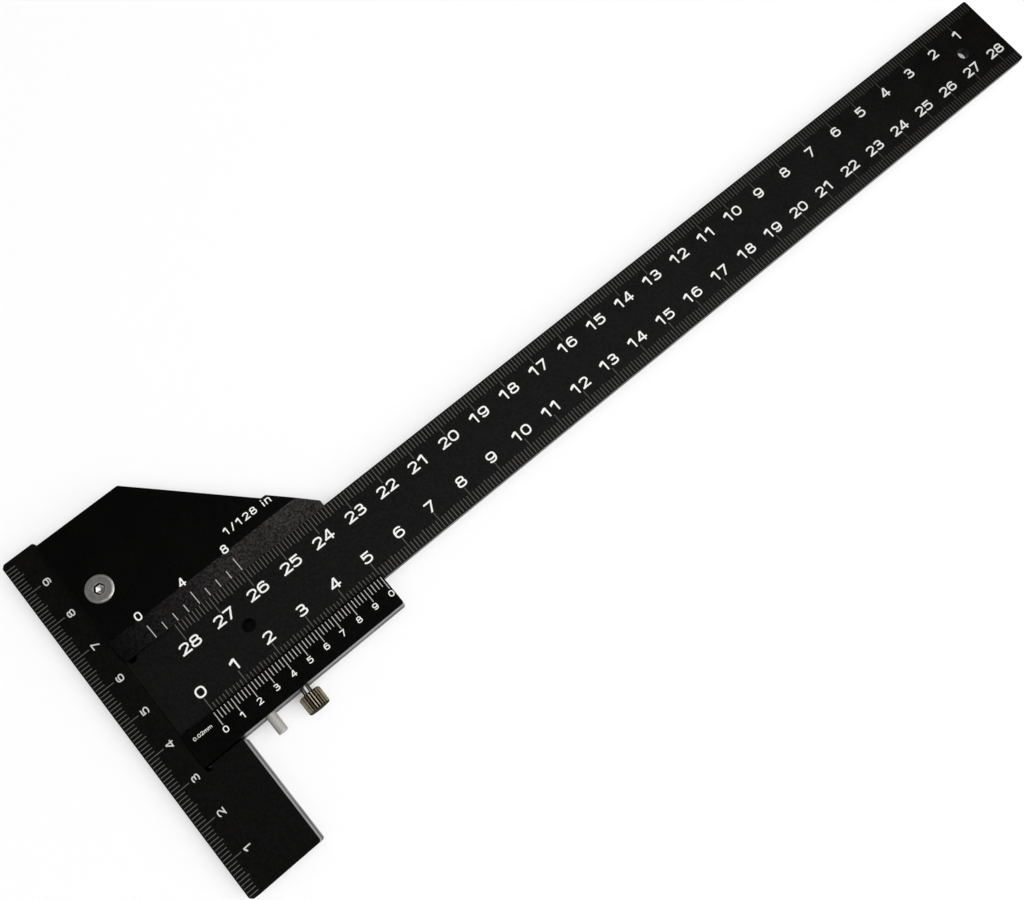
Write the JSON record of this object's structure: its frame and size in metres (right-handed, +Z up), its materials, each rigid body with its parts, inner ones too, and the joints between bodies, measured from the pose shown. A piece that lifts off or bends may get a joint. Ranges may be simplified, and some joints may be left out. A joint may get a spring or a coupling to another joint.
{
  "type": "t-square",
  "caption": "Flat black T-square with a graduated blade, a graduated head, a sliding wing with vernier scales, a stop pin and a knurled clamping screw.",
  "frame": {"origin": "Centre of the bounding box in X and Y, on the plane that the square lies on.", "axes": "+X runs along the blade from the head to its free end, +Y across the blade towards the wing, +Z up out of the graduated face."},
  "size_m": [0.304, 0.1, 0.0084],
  "materials": {
    "black_anodised": "satin black anodised",
    "bright_steel": "turned bright steel",
    "satin_pin": "satin grey steel",
    "nickelled_brass": "knurled, worn nickel on brass",
    "brass": "plain turned brass"
  },
  "bodies": {
    "rule": {"head_bar": "black_anodised", "head_sole": "black_anodised", "blade": "black_anodised", "sole_screw_1": "bright_steel", "sole_screw_2": "bright_steel", "sole_screw_3": "bright_steel", "sole_screw_4": "bright_steel", "sole_screw_5": "bright_steel"},
    "slider": {"slider_base": "black_anodised", "wing_plate": "black_anodised", "vernier_strip": "black_anodised", "base_screw_1": "bright_steel", "base_screw_2": "bright_steel", "base_screw_3": "bright_steel", "base_screw_4": "bright_steel", "base_screw_5": "bright_steel", "base_screw_6": "bright_steel", "base_screw_7": "bright_steel", "wing_screw": "bright_steel", "stop_pin": "satin_pin"},
    "clamp": {"clamp_slug": "brass"},
    "thumbscrew": {"thumbscrew_knob": "nickelled_brass", "thumbscrew_stud": "bright_steel"}
  },
  "joints": [
    {"name": "slider_travel", "type": "slide", "parent": "rule", "child": "slider", "axis": [1, 0, 0], "range_m": [0, 0.2345]},
    {"name": "clamp_advance", "type": "slide", "parent": "slider", "child": "clamp", "axis": [0, 1, 0], "range_m": [-0.00067, 0.00022]},
    {"name": "thumbscrew_turn", "type": "hinge", "parent": "clamp", "child": "thumbscrew", "pos_m": [-0.114, -0.0216, 0.00515], "axis": [0, 1, 0], "range_deg": [-540, 180]}
  ],
  "couplings": [
    {"joint": "thumbscrew_turn", "follows": "clamp_advance", "rad_per_m": 13963}
  ]
}
